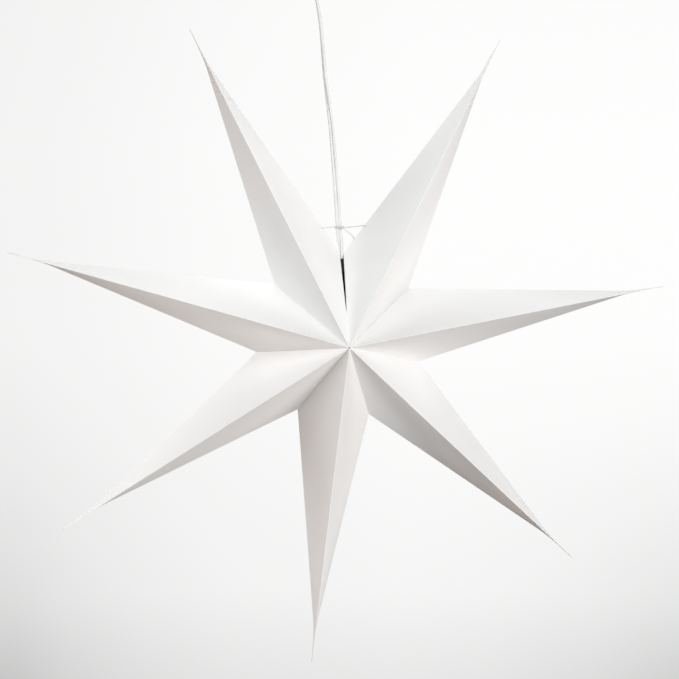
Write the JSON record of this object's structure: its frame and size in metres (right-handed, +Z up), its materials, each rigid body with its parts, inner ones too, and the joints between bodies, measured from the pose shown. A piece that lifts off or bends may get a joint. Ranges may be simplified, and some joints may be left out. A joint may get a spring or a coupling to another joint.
{
  "type": "paper star lantern",
  "caption": "Folded white paper star lantern with pinched points, glued inside the valleys, tied shut round its lamp cable and hung from a ceiling cup.",
  "frame": {"origin": "centre of the ceiling plate's upper face", "axes": "+Z up against the ceiling, -Y towards the front of the star, +X to its right seen from the front"},
  "size_m": [0.6025, 0.1716, 0.7009],
  "materials": {
    "paper": "matte",
    "string": "matte",
    "cable_white": "satin",
    "holder_black": "satin",
    "ceramic_white": "matte",
    "brass": "satin",
    "bulb_glass": "satin",
    "cup_white": "satin"
  },
  "bodies": {
    "root": {"point_upper_left": "paper", "point_upper_right": "paper", "point_right": "paper", "point_lower_right": "paper", "point_bottom": "paper", "point_lower_left": "paper", "point_left": "paper", "tie_string": "string", "cable": "cable_white", "holder_cap": "holder_black", "holder_body": "holder_black", "contact_insert": "ceramic_white", "screw_shell": "brass", "centre_contact": "brass", "bulb": "bulb_glass", "ceiling_cup": "cup_white", "ceiling_plate": "cup_white", "cord_grip": "cup_white"}
  },
  "joints": []
}
